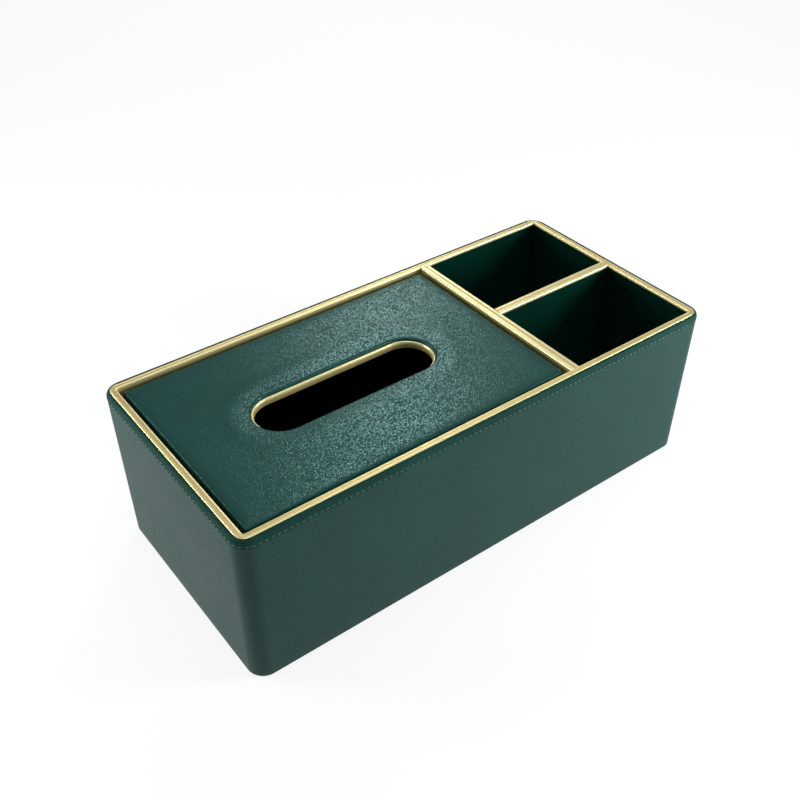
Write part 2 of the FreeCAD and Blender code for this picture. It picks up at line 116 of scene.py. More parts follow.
class TissueBoxSizes(bpy.types.PropertyGroup):
    """Lengths of the details that the looks add to the frame."""

    stitch_pitch: length("Stitch pitch", "From one stitch of the rim to the next", 3.0)
    stitch_length: length("Stitch length", "Thread that shows in one stitch", 2.2)
    stitch_drop: length("Stitch drop", "Stitch row below the top of the rim", 3.5)
    thread_radius: length("Thread radius", "Half the thickness of the thread", 0.30)
    furrow_depth: length("Furrow depth", "How far the stitches pull the leather in", 0.40)
    furrow_width: length("Furrow width", "Reach of the pulled-in leather above the stitches", 0.5)
    furrow_trail: length("Furrow trail", "Reach of the pulled-in leather below the stitches", 0.8)
    roll_in: length("Roll in", "How far in from its face the rim band starts to roll over", 2.0)
    roll_down: length("Roll down", "How far down the rim band's padded roll reaches", 3.1)
    band_lean: length("Band lean", "How far the rim band draws in towards its lower edge", 0.12)
    side_lean: length("Side lean", "How far the sides draw in towards the base", 0.95)
    base_corner: length("Base corner", "Corner radius of the sides at the base", 10.0)
    heel: length("Heel", "Roll radius of the side leather under the base", 0.9)
    slot_length: length("Slot length", "Length of the slot in the lid's leather", 102.0)
    slot_width: length("Slot width", "Width of the slot in the lid's leather", 29.0)
    slot_roll: length("Slot roll", "Roll radius of the leather at the slot", 1.2)
    slot_dip: length("Slot dip", "How far the leather dips at the slot", 0.28)
    slot_swell: length("Slot swell", "How far the padding swells round the slot", 0.16)
    lid_corner: length("Lid corner", "Corner radius of the lid in plan", 1.5)
    lid_roll: length("Lid roll", "Roll radius of the lid's outer edge", 1.3)
    lid_tuck: length("Lid tuck", "How far the leather is drawn in at the lid's edge", 0.45)
    lid_fall: length("Lid fall", "How far the padding falls towards the lid's edge", 0.2)
    lid_pebble: length("Lid pebble", "Size of the pebbles in the lid's leather", 1.2)
    ring_roll_out: length("Ring outer roll", "Roll of the slot ring's outer edge", 0.35)
    ring_roll_in: length("Ring inner roll", "How far down the ring's inner edge rolls", 1.6)
    side_pebble: length("Side pebble", "Size of the pebbles in the side leather", 1.0)


class TissueBoxColours(bpy.types.PropertyGroup):
    """Colours of the finishes."""

    side_leather: colour("Side leather", "Leather of the sides", 0.011, 0.050, 0.043)
    rim_leather: colour("Rim leather", "Matt leather of the rim band", 0.011, 0.050, 0.040)
    lid_leather: colour("Lid leather", "Pebbled leather of the lid", 0.011, 0.066, 0.057)
    thread: colour("Thread", "Sewing thread of the rim", 0.055, 0.160, 0.120)
    gold: colour("Gold", "Satin metal of the trim and the slot ring", 0.82, 0.75, 0.39)
    # Painted shade: a darker gold for the middle of the trim's flutes.
    flute_shade_gold: colour("Old gold", "Metal in the flutes, where it dulls", 0.66, 0.50, 0.22)
    # Painted shade: a darker gold for the flanks of the trim and the ring, well below their tops.
    flank_shade_gold: colour("Flank gold", "Metal low on the flanks", 0.78, 0.66, 0.24)
    green_lining: colour("Green lining", "Suede of the compartments", 0.0004, 0.025, 0.0165)
    # This black also colours the ledges under the lid's edge: painted shade for the gap round the
    # lid.
    black_lining: colour("Black lining", "Lining of the chamber", 0.0040, 0.0045, 0.0045)
    board: colour("Board", "Fibreboard of the carcass", 0.36, 0.24, 0.13)
    foam: colour("Foam", "Foam under the lid's leather", 0.55, 0.50, 0.40)
    felt: colour("Felt", "Felt under the case", 0.012, 0.014, 0.014)
    floor: colour("Floor", "Floor that the box stands on", 0.93, 0.93, 0.93)


def sizes():
    return bpy.context.scene.tissue_box_sizes


def colours():
    return bpy.context.scene.tissue_box_colours


# ---- shader tools

def fill_inputs(tree, shader_node, inputs):
    """Sets each input to a number, a colour or a vector, or links another node's output to it."""
    for name, value in inputs.items():
        if isinstance(value, bpy.types.NodeSocket):
            tree.links.new(value, shader_node.inputs[name])
        else:
            shader_node.inputs[name].default_value = value


def add_node(tree, kind, inputs=None, **settings):
    shader_node = tree.nodes.new("ShaderNode" + kind)
    for name, value in settings.items():
        setattr(shader_node, name, value)
    fill_inputs(tree, shader_node, inputs or {})
    return shader_node


def calculate(tree, operation, first, second=0.0, clamp=False):
    worked = add_node(tree, "Math", {0: first, 1: second}, operation=operation, use_clamp=clamp)
    return worked.outputs[0]


def plus(tree, first, second, clamp=False):
    return calculate(tree, "ADD", first, second, clamp)


def minus(tree, first, second):
    return calculate(tree, "SUBTRACT", first, second)


def times(tree, first, second):
    return calculate(tree, "MULTIPLY", first, second)


def vector_work(tree, operation, inputs):
    return add_node(tree, "VectorMath", inputs, operation=operation).outputs


def spread(tree, value, low, high, to_low=0.0, to_high=1.0):
    """A smooth step of value from low to high, put out between to_low and to_high."""
    ranged = add_node(tree, "MapRange", {"Value": value, "From Min": low, "From Max": high,
                                         "To Min": to_low, "To Max": to_high},
                      interpolation_type="SMOOTHSTEP")
    return ranged.outputs["Result"]


def mix_colour(tree, share, first, second):
    """Blends from the first colour to the second by share."""
    mixed = add_node(tree, "Mix", {0: share, 6: first, 7: second}, data_type="RGBA")
    return mixed.outputs[2]


def darken(tint, share):
    return [channel * share for channel in tint[:3]] + [1.0]


def shaded(tree, light, tint, darkest):
    """Blends from tint at its darkest share up to the whole tint by light."""
    return mix_colour(tree, light, darken(tint, darkest), tint)


def object_place(tree):
    return add_node(tree, "TexCoord").outputs["Object"]


def object_axes(tree):
    return add_node(tree, "SeparateXYZ", {0: object_place(tree)}).outputs


def axis_place(axis):
    """Makes a function that gives the object's own place along X (0), Y (1) or Z (2)."""
    return lambda tree: object_axes(tree)[axis]


def noise_at(tree, place, scale, detail=2.0, roughness=0.5, output="Fac"):
    """Noise at a scale per metre: Fac for a share, Color for three at once."""
    return add_node(tree, "TexNoise", {"Vector": place, "Scale": scale, "Detail": detail,
                                       "Roughness": roughness}).outputs[output]


def new_group(name, inputs, outputs):
    """A node group; inputs are {name: default} and outputs are names.  Colour holds a colour.

    Gives the group, the sockets that its inputs arrive at, and its output node.
    """
    group = bpy.data.node_groups.new(name, "ShaderNodeTree")
    for in_out, labels in (("INPUT", inputs), ("OUTPUT", outputs)):
        for label in labels:
            kind = "NodeSocketColor" if label == "Colour" else "NodeSocketFloat"
            socket = group.interface.new_socket(label, in_out=in_out, socket_type=kind)
            if in_out == "INPUT":
                socket.default_value = inputs[label]
    start = group.nodes.new("NodeGroupInput")
    return group, start.outputs, group.nodes.new("NodeGroupOutput")


# ---- effects that several finishes share

WARP_PER_PEBBLE = 0.35
PIT_PER_PEBBLE = 1.25
PORE_PER_PEBBLE = 4.0
STROKE_PER_FIBRE = 0.012
LINE_SQUEEZE = 0.03
HAZE_SCALE = 90.0
FLUTE_CORE = 0.55


def pebble_group():
    """Pebbled leather: raised cells between creases, with fine pores and polished crowns."""
    group, start, end = new_group(
        "Pebble Grain", {"Pebble Size": 1.2 * MM, "Roundness": 0.36, "Crease": 0.17,
                         "Pore": 0.12, "Pit": 0.9}, ("Height", "Crown"))
    place = object_place(group)
    per_metre = calculate(group, "DIVIDE", 1.0, start["Pebble Size"])
    warp = noise_at(group, place, times(group, per_metre, WARP_PER_PEBBLE), 1.0, output="Color")
    centred = vector_work(group, "SUBTRACT", {0: warp, 1: (0.5, 0.5, 0.5)})[0]
    push = vector_work(group, "SCALE", {0: centred, "Scale": start["Pebble Size"]})[0]
    moved = vector_work(group, "ADD", {0: place, 1: push})[0]
    cells = add_node(group, "TexVoronoi", {"Vector": moved, "Scale": per_metre,
                                           "Randomness": 0.75}, feature="DISTANCE_TO_EDGE")
    from_crease = cells.outputs["Distance"]
    pebbles = spread(group, from_crease, 0.0, start["Roundness"])
    polished = spread(group, from_crease, 0.0, start["Crease"])
    pits = noise_at(group, place, times(group, per_metre, PIT_PER_PEBBLE), 1.0, 0.6)
    sunk = times(group, spread(group, pits, 0.50, 0.40), start["Pit"])
    pores = noise_at(group, place, times(group, per_metre, PORE_PER_PEBBLE), 3.0, 0.6)
    fill_inputs(group, end, {
        "Height": plus(group, pebbles, times(group, pores, start["Pore"])),
        "Crown": times(group, polished, minus(group, 1.0, sunk))})
    return group


def mottle_group():
    """Slow changes of tone over a hide or a sheet."""
    group, start, end = new_group(
        "Soft Mottle", {"Colour": (0.5, 0.5, 0.5, 1.0), "Patch Size": 30.0 * MM,
                        "Amount": 0.15}, ("Colour", "Tone"))
    per_metre = calculate(group, "DIVIDE", 1.0, start["Patch Size"])
    patches = noise_at(group, object_place(group), per_metre, 4.0, 0.55)
    tone = spread(group, patches, 0.3, 0.7)
    factor = plus(group, times(group, minus(group, tone, 0.5), start["Amount"]), 1.0)
    toned = vector_work(group, "SCALE", {0: start["Colour"], "Scale": factor})[0]
    fill_inputs(group, end, {"Colour": toned, "Tone": tone})
    return group


def nap_group():
    """Short fibres of suede, felt and lining cloth, brushed one way and another."""
    group, start, end = new_group(
        "Fibre Nap", {"Fibre Size": 0.3 * MM, "Streak": 0.4}, ("Height", "Light"))
    place = object_place(group)
    per_metre = calculate(group, "DIVIDE", 1.0, start["Fibre Size"])
    fibres = noise_at(group, place, per_metre, 3.0, 0.7)
    brushed = noise_at(group, place, times(group, per_metre, STROKE_PER_FIBRE))
    light = plus(group, times(group, fibres, 0.6), times(group, brushed, start["Streak"]))
    fill_inputs(group, end, {"Height": fibres, "Light": light})
    return group


def brush_group():
    """Fine drawn lines of satin metal, along X when Along X is 1 and along Y when it is 0."""
    group, start, end = new_group(
        "Satin Lines", {"Along X": 1.0, "Line Size": 0.25 * MM}, ("Height", "Rough"))
    place = object_axes(group)
    squeeze_x = spread(group, start["Along X"], 0.0, 1.0, 1.0, LINE_SQUEEZE)
    squeeze_y = spread(group, start["Along X"], 0.0, 1.0, LINE_SQUEEZE, 1.0)
    squeezed = add_node(group, "CombineXYZ", {0: times(group, place[0], squeeze_x),
                                              1: times(group, place[1], squeeze_y),
                                              2: place[2]})
    per_metre = calculate(group, "DIVIDE", 1.0, start["Line Size"])
    lines = noise_at(group, squeezed.outputs[0], per_metre)
    haze = noise_at(group, object_place(group), HAZE_SCALE, 3.0)
    rough = plus(group, times(group, lines, 0.12), times(group, haze, 0.12))
    fill_inputs(group, end, {"Height": lines, "Rough": rough})
    return group


def flute_group():
    """Mask of a flute: 1 where Across is well within Half Width of Middle."""
    group, start, end = new_group(
        "Flute Mask", {"Across": 0.0, "Middle": 0.0, "Half Width": 0.8 * MM}, ("Mask",))
    away = calculate(group, "ABSOLUTE", minus(group, start["Across"], start["Middle"]))
    core = times(group, start["Half Width"], FLUTE_CORE)
    fill_inputs(group, end, {"Mask": spread(group, away, start["Half Width"], core)})
    return group


GROUP_MAKERS = {"Pebble Grain": pebble_group, "Soft Mottle": mottle_group,
                "Fibre Nap": nap_group, "Satin Lines": brush_group, "Flute Mask": flute_group}


def use_group(tree, name, inputs):
    """Places a shared effect in a material, making it the first time it is asked for."""
    placed = tree.nodes.new("ShaderNodeGroup")
    placed.node_tree = bpy.data.node_groups.get(name) or GROUP_MAKERS[name]()
    fill_inputs(tree, placed, inputs)
    return placed.outputs


# ---- finishes

WHITE = (1.0, 1.0, 1.0, 1.0)
HIDE_MOTTLE = {"Patch Size": 35.0 * MM, "Amount": 0.16}
HIDE_DRIFT = 0.05
TWIST_SCALE = 700.0
GILDING_ROUGH = 0.24
FLUTE_ROUGH = 0.08
FIBRE_SCALE = 1400.0
FIBRE_STRETCH = 5.0
CHIP_SCALE = 350.0
FOAM_CELL_SCALE = 2500.0


def new_material(name):
    """An empty material with its Principled shader."""
    material = bpy.data.materials.new(name)
    material.use_nodes = True
    tree = material.node_tree
    tree.nodes.clear()
    surface = add_node(tree, "BsdfPrincipled")
    add_node(tree, "OutputMaterial", {"Surface": surface.outputs[0]})
    return material, tree, surface


def bumped(tree, height, relief, strength):
    """The normal of a surface that rises and falls with height."""
    bump = add_node(tree, "Bump", {"Strength": strength, "Distance": relief, "Height": height})
    return bump.outputs[0]


def leather(name, tint, pebble, relief, crease_shade, rough_low, rough_high, specular, gleam=WHITE):
    """Pebbled hide.  Painted shade darkens its creases and pits to the crease share of its colour,
    and gleam tints what it mirrors.
    """
    material, tree, surface = new_material(name)
    grain = use_group(tree, "Pebble Grain", {"Pebble Size": pebble})
    hide = use_group(tree, "Soft Mottle", {"Colour": tint, **HIDE_MOTTLE})
    # Painted shade: a darker copy of the hide's colour, shown in the creases and pits.
    crease_shade_colour = use_group(tree, "Soft Mottle", {"Colour": darken(tint, crease_shade), **HIDE_MOTTLE})
    rough = spread(tree, grain["Crown"], 0.0, 1.0, rough_high, rough_low)
    drift = times(tree, minus(tree, hide["Tone"], 0.5), HIDE_DRIFT)
    fill_inputs(tree, surface, {
        "Base Color": mix_colour(tree, grain["Crown"], crease_shade_colour["Colour"], hide["Colour"]),
        "Roughness": plus(tree, rough, drift),
        "Specular IOR Level": specular, "Specular Tint": gleam,
        "Normal": bumped(tree, grain["Height"], relief, 1.0)})
    return material


def side_leather_finish():
    return leather("side_leather", colours().side_leather, sizes().side_pebble,
                   relief=0.02 * MM, crease_shade=0.85, rough_low=0.40, rough_high=0.50, specular=0.13)


def rim_leather_finish():
    return leather("rim_leather", colours().rim_leather, sizes().side_pebble,
                   relief=0.02 * MM, crease_shade=0.80, rough_low=0.55, rough_high=0.65, specular=0.04)


def lid_leather_finish():
    return leather("lid_leather", colours().lid_leather, sizes().lid_pebble,
                   relief=0.024 * MM, crease_shade=0.30, rough_low=0.21, rough_high=0.56, specular=0.5,
                   gleam=(0.38, 1.0, 0.92, 1.0))


def thread_finish():
    """Sewing thread, darker between its twists."""
    material, tree, surface = new_material("thread")
    wave = add_node(tree, "TexWave", {"Vector": object_place(tree), "Scale": TWIST_SCALE,
                                      "Distortion": 1.5}, bands_direction="DIAGONAL")
    twist = wave.outputs["Fac"]
    light = spread(tree, twist, 0.0, 1.0, to_low=0.55)
    fill_inputs(tree, surface, {
        "Base Color": shaded(tree, light, colours().thread, darkest=0.5),
        "Roughness": spread(tree, twist, 0.0, 1.0, to_low=0.6, to_high=0.4),
        "Specular IOR Level": 0.4,
        "Normal": bumped(tree, twist, relief=0.05 * MM, strength=0.6)})
    return material


def gold(name, along_x, top, across=None, middle=0.0, flank_end=FLANK_END):
    """Satin gilding that turns more metallic well below its top, where painted shade darkens its
    flanks.

    across(tree) gives the place across a flute, where the gilding is rougher and painted shade
    darkens it.
    """
    material, tree, surface = new_material(name)
    lines = use_group(tree, "Satin Lines", {"Along X": along_x})
    base = use_group(tree, "Soft Mottle", {"Colour": colours().gold, "Patch Size": 20.0 * MM,
                                           "Amount": 0.05})["Colour"]
    rough = plus(tree, lines["Rough"], GILDING_ROUGH)
    if across is not None:
        # Painted shade: the flute's middle turns to the darker flute gold, and it is rougher too.
        mask = use_group(tree, "Flute Mask", {"Across": across(tree), "Middle": middle})["Mask"]
        base = mix_colour(tree, mask, base, colours().flute_shade_gold)
        rough = plus(tree, rough, times(tree, mask, FLUTE_ROUGH))
    # Painted shade: down the flanks the colour turns to the darker flank gold.
    flank = spread(tree, object_axes(tree)[2], top - FLANK_START, top - flank_end)
    fill_inputs(tree, surface, {
        "Base Color": mix_colour(tree, flank, base, colours().flank_shade_gold),
        "Roughness": rough,
        "Metallic": spread(tree, flank, 0.0, 1.0, GILDING_METAL, FLANK_METAL),
        "Normal": bumped(tree, lines["Height"], relief=0.008 * MM, strength=0.5)})
    return material


def inset_place(tree):
    """How far a point lies inside the rim band's outer face."""
    place = object_axes(tree)
    from_end = minus(tree, HALF_LENGTH, calculate(tree, "ABSOLUTE", place[0]))
    from_side = minus(tree, HALF_WIDTH, calculate(tree, "ABSOLUTE", place[1]))
    return calculate(tree, "MINIMUM", from_end, from_side)


def cloth(name, tint, fibre, relief, sheen, sheen_tint):
    """Suede, felt or lining cloth."""
    material, tree, surface = new_material(name)
    nap = use_group(tree, "Fibre Nap", {"Fibre Size": fibre})
    weave = use_group(tree, "Soft Mottle", {"Colour": tint, "Patch Size": 25.0 * MM,
                                            "Amount": 0.35})
    fill_inputs(tree, surface, {
        "Base Color": mix_colour(tree, nap["Light"], darken(tint, 0.45), weave["Colour"]),
        "Roughness": spread(tree, nap["Light"], 0.2, 0.9, to_low=0.98, to_high=0.82),
        "Specular IOR Level": 0.0, "Sheen Weight": sheen, "Sheen Roughness": 0.5,
        "Sheen Tint": sheen_tint,
        "Normal": bumped(tree, nap["Height"], relief, strength=0.8)})
    return material


def board_finish():
    """Fibreboard: pressed fibres with darker chips."""
    material, tree, surface = new_material("fibreboard")
    place = object_place(tree)
    stretched = add_node(tree, "Mapping", {"Vector": place, "Scale": (1.0, 1.0, FIBRE_STRETCH)})
    fibres = noise_at(tree, stretched.outputs[0], FIBRE_SCALE, 4.0, 0.65)
    chips = noise_at(tree, place, CHIP_SCALE)
    light = plus(tree, times(tree, fibres, 0.7), times(tree, chips, 0.5), clamp=True)
    fill_inputs(tree, surface, {
        "Base Color": shaded(tree, light, colours().board, darkest=0.5),
        "Roughness": spread(tree, fibres, 0.2, 0.8, to_low=0.9, to_high=0.75),
        "Normal": bumped(tree, fibres, relief=0.1 * MM, strength=0.7)})
    return material


def foam_finish():
    """Open-cell foam."""
    material, tree, surface = new_material("foam")
    cells = add_node(tree, "TexVoronoi", {"Vector": object_place(tree),
                                          "Scale": FOAM_CELL_SCALE}, feature="F1")
    light = spread(tree, cells.outputs["Distance"], 0.1, 0.7)
    fill_inputs(tree, surface, {
        "Base Color": shaded(tree, light, colours().foam, darkest=0.6),
        "Roughness": spread(tree, light, 0.0, 1.0, to_low=1.0, to_high=0.85),
        "Normal": bumped(tree, cells.outputs["Distance"], relief=0.2 * MM, strength=1.0)})
    return material


def dress(material, *names):
    """Gives CAD nodes their finish."""
    for name in names:
        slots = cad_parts[name].data.materials
        slots.clear()
        slots.append(material)


# ---- mesh tools

# A ring of points this close to a sharp turn keeps the long face beside it flat in its shading.
CLOSE_RING = 0.1 * MM


def add_object(name, data):
    made = bpy.data.objects.new(name, data)
    bpy.context.scene.collection.objects.link(made)
    return made


def mesh_object(name, points, faces, material, smooth=True):
    mesh = bpy.data.meshes.new(name)
    mesh.from_pydata(points, [], faces)
    mesh.update()
    shape = bmesh.new()
    shape.from_mesh(mesh)
    bmesh.ops.recalc_face_normals(shape, faces=shape.faces)
    shape.to_mesh(mesh)
    shape.free()
    for face in mesh.polygons:
        face.use_smooth = smooth
    mesh.materials.append(material)
    return add_object(name, mesh)


def ring_faces(here, there, around):
    """Faces between two rings of points that start at here and there."""
    return [(here + step, here + (step + 1) % around, there + (step + 1) % around, there + step)
            for step in range(around)]


def tube_object(name, stations, section, point, material):
    """A closed tube: point(station, *entry) places each entry of the section at each station."""
    around = len(section)
    points = [point(station, *entry) for station in stations for entry in section]
    faces = []
    for first in range(0, len(points), around):
        faces += ring_faces(first, (first + around) % len(points), around)
    return mesh_object(name, points, faces, material)


def raised(spot, height):
    return spot.x, spot.y, height


class RoundedOutline:
    """A rounded rectangle walked anticlockwise from the start of its front side."""

    def __init__(self, half_length, half_width, corner):
        self.run_x = half_length - corner
        self.run_y = half_width - corner
        self.corner = corner
        arc = math.pi / 2 * corner
        self.parts = [2 * self.run_x, arc, 2 * self.run_y, arc] * 2
        self.total = sum(self.parts)

    def walk(self, corner_steps, run_steps):
        """Distances along the outline, close together in the corners."""
        distances = []
        passed = 0.0
        for part, stretch in enumerate(self.parts):
            steps = corner_steps if part % 2 else run_steps
            distances += [passed + stretch * step / steps for step in range(steps)]
            passed += stretch
        return distances

    def at(self, distance, inset=0.0):
        """Point and outward direction at a distance along the outline, moved inward by inset."""
        distance %= self.total
        part = 0
        while distance > self.parts[part]:
            distance -= self.parts[part]
            part += 1
        turn = part // 2 * math.pi / 2
        radius = self.corner - inset
        run, side = self.run_x, self.run_y
        if part % 4 >= 2:
            run, side = side, run
        if part % 2 == 0:
            out = Vector((0.0, -1.0, 0.0))
            local = Vector((distance - run, -side - radius, 0.0))
        else:
            angle = distance / self.corner
            out = Vector((math.sin(angle), -math.cos(angle), 0.0))
            local = Vector((run, -side, 0.0)) + out * radius
        rotation = Matrix.Rotation(turn, 3, "Z")
        return rotation @ local, rotation @ out


def quarter_turn(steps, first=0):
    """The sine and cosine of each step from first to steps over a quarter turn."""
    angles = [math.pi / 2 * step / steps for step in range(first, steps + 1)]
    return [(math.sin(angle), math.cos(angle)) for angle in angles]


def clamp_share(value):
    return min(max(value, 0.0), 1.0)


def smooth_step(value, low, high):
    share = clamp_share((value - low) / (high - low))
    return share * share * (3.0 - 2.0 * share)


# ---- rim band and its stitches

ROLL_FULLNESS = 2.6
ROLL_STEPS = 12
ROLL_FREE_STEPS = 3
FACE_STEPS = 12
FOLD = 0.15 * MM
FOLD_EASE = 0.3
STEPS_PER_STITCH = 4
FURROW_REST = 0.45


def rim_outline():
    return RoundedOutline(HALF_LENGTH, HALF_WIDTH, RIM_CORNER)


def stitch_count():
    return round(rim_outline().total / sizes().stitch_pitch)


def band_face(height):
    """Inset of the rim band's outer face: a padded roll above, drawn in towards its lower edge."""
    start = rim_high.z - sizes().roll_down
    if height < start:
        return sizes().band_lean * (start - height) / (start - rim_low.z)
    risen = min((height - start) / sizes().roll_down, 1.0)
    return sizes().roll_in * (1.0 - (1.0 - risen ** ROLL_FULLNESS) ** (1.0 / ROLL_FULLNESS))


def furrow(along, height):
    """How far the leather is pulled in, at a place counted in stitches and a height."""
    above = height - (rim_high.z - sizes().stitch_drop)
    across = above / (sizes().furrow_width if above > 0.0 else sizes().furrow_trail)
    hole = FURROW_REST + (1.0 - FURROW_REST) * math.cos(math.tau * along) ** 2
    return sizes().furrow_depth * math.exp(-across * across) * hole


def rim_profile():
    """Inset and height round a section of the rim band, from its seat under the trim.

    The flag tells which points lie on the outer face, where the stitches pull the leather in.
    """
    top = rim_high.z
    bottom = rim_low.z
    seat = trim_high.z - TRIM_CAP
    under = seat - LEATHER
    section = [(INSIDE_INSET, under, False), (INSIDE_INSET, seat, False),
               (TRIM_INSET, seat, False), (TRIM_INSET, top, False)]
    for step, (_, cosine) in enumerate(quarter_turn(ROLL_STEPS)):
        height = top - sizes().roll_down * (1.0 - cosine)
        section.append((band_face(height), height, step >= ROLL_FREE_STEPS))
    start = top - sizes().roll_down
    for step in range(1, FACE_STEPS + 1):
        height = start + (bottom + FOLD - start) * step / FACE_STEPS
        section.append((band_face(height), height, True))
    edge = band_face(bottom)
    ease = FOLD_EASE * FOLD
    section += [(edge + ease, bottom + ease, False), (edge + FOLD, bottom, False),
                (SKIN_INSET, bottom, False), (SKIN_INSET, under, False)]
    return section


class TISSUEBOX_OT_rim_band(bpy.types.Operator):
    """Make the leather band rolled over the rim, pulled in along its row of stitches"""

    bl_idname = "tissue_box.rim_band"
    bl_label = "Rim Band"

    def execute(self, context):
        outline = rim_outline()
        around = stitch_count() * STEPS_PER_STITCH
        pitch = outline.total / stitch_count()
        distances = [outline.total * step / around for step in range(around)]

        def point(distance, inset, height, outer):
            pull = furrow(distance / pitch, height) if outer else 0.0
            return raised(outline.at(distance, inset + pull)[0], height)

        band = tube_object("rim_leather", distances, rim_profile(), point, rim_leather_finish())
        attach(band, "case")
        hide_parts("rim_band")
        return {"FINISHED"}


class TISSUEBOX_OT_stitches(bpy.types.Operator):
    """Sew the row of stitches round the rim band"""

    bl_idname = "tissue_box.stitches"
    bl_label = "Rim Stitches"

    SIDES = 8
    BENDS = 7
    SEAT = 0.8
    RISE = 0.35
    SLANT = 0.16 * MM
    TAPER = 0.55

    def execute(self, context):
        outline = rim_outline()
        count = stitch_count()
        pitch = outline.total / count
        height = rim_high.z - sizes().stitch_drop
        points = []
        faces = []
        for stitch in range(count):
            self.sew(outline, (stitch + 0.5) * pitch, height, points, faces)
        row = mesh_object("rim_stitches", points, faces, thread_finish())
        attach(row, "case")
        return {"FINISHED"}

    def sew(self, outline, middle, height, points, faces):
        """One stitch: a short thread that rises out of the leather and sinks back."""
        radius = sizes().thread_radius
        half = sizes().stitch_length / 2
        first = len(points)
        for bend in range(self.BENDS):
            share = 2.0 * bend / (self.BENDS - 1) - 1.0
            sunk = (band_face(height) + sizes().furrow_depth * self.SEAT
                    + self.RISE * radius * share ** 4)
            spot, out = outline.at(middle + share * half, sunk)
            slant = share * self.SLANT
            thin = radius * (1.0 - self.TAPER * share ** 6)
            for side in range(self.SIDES):
                angle = math.tau * side / self.SIDES
                points.append(raised(spot + out * thin * math.cos(angle),
                                     height + slant + thin * math.sin(angle)))
        last = len(points) - self.SIDES
        for here in range(first, last, self.SIDES):
            faces += ring_faces(here, here + self.SIDES, self.SIDES)
        faces.append(tuple(range(first + self.SIDES - 1, first - 1, -1)))
        faces.append(tuple(range(last, last + self.SIDES)))


# ---- lid cover

class LidPlan:
    """The lid in plan: spokes from the slot's edge out to the lid's edge."""

    CAP_SPOKES = 72
    RUN_SPOKES = 56
    CORNER_SPOKES = 5
    CORNER_WEIGHT = 9.0 * MM
    SHOULDER = 0.75

    def __init__(self):
        self.middle = Vector((LID_X, 0.0, 0.0))
        self.half_x = (lid_high.x - lid_low.x) / 2 - sizes().lid_tuck
        self.half_y = lid_high.y - sizes().lid_tuck
        self.radius = sizes().slot_width / 2
        self.run = sizes().slot_length / 2 - self.radius
        self.corner = sizes().lid_corner
        self.shoulder = self.half_x - self.half_y * self.SHOULDER
        self.spokes = self.half_turn(1.0) + self.half_turn(-1.0)

    def half_turn(self, end):
        """Spokes of one long side and the end that follows it, as (end, kind, share, turn)."""
        spokes = [(end, "side", 2.0 * step / self.RUN_SPOKES - 1.0, 0.0)
                  for step in range(self.RUN_SPOKES)]
        run = self.half_x - self.corner - self.shoulder
        across = 2.0 * (self.half_y - self.corner)
        stretches = (("front", run), ("low corner", self.CORNER_WEIGHT), ("end", across),
                     ("high corner", self.CORNER_WEIGHT), ("back", run))
        whole = sum(weight for _, weight in stretches)
        passed = 0.0
        for kind, weight in stretches:
            count = (self.CORNER_SPOKES if "corner" in kind
                     else round(self.CAP_SPOKES * weight / whole))
            for step in range(count):
                share = step / count
                turn = math.pi * (passed + share * weight) / whole
                spokes.append((end, kind, share, turn))
            passed += weight
        return spokes

    def slot_spot(self, spoke, offset):
        """Place at an offset outside the slot's edge."""
        end, kind, share, turn = spoke
        if kind == "side":
            return Vector((share * self.run, -self.radius - offset, 0.0)) * end
        out = Vector((math.sin(turn), -math.cos(turn), 0.0))
        return (Vector((self.run, 0.0, 0.0)) + out * (self.radius + offset)) * end

    def edge_spot(self, spoke, inset):
        """Place at an inset from the lid's edge; inner rings have rounder corners."""
        end, kind, share, _ = spoke
        rolled = min(inset, sizes().lid_roll)
        corner = self.corner - rolled + (inset - rolled)
        far_x = self.half_x - inset
        far_y = self.half_y - inset
        turn_x = far_x - corner
        turn_y = far_y - corner
        if kind == "side":
            spot = Vector((share * self.shoulder, -far_y, 0.0))
        elif kind == "front":
            spot = Vector((self.shoulder + share * (turn_x - self.shoulder), -far_y, 0.0))
        elif kind == "end":
            spot = Vector((far_x, (2.0 * share - 1.0) * turn_y, 0.0))
        elif kind == "back":
            spot = Vector((turn_x + share * (self.shoulder - turn_x), far_y, 0.0))
        else:
            low = kind == "low corner"
            angle = math.pi / 2 * (share - 1.0 if low else share)
            spot = Vector((turn_x + corner * math.cos(angle),
                           (-turn_y if low else turn_y) + corner * math.sin(angle), 0.0))
        return spot * end

    def slot_distance(self, point):
        """How far a point lies outside the slot's edge."""
        near = min(max(point.x, -self.run), self.run)
        return math.hypot(point.x - near, point.y) - self.radius

    def edge_distance(self, point):
        """How far a point lies inside the lid's edge."""
        return min(self.half_x - abs(point.x), self.half_y - abs(point.y))


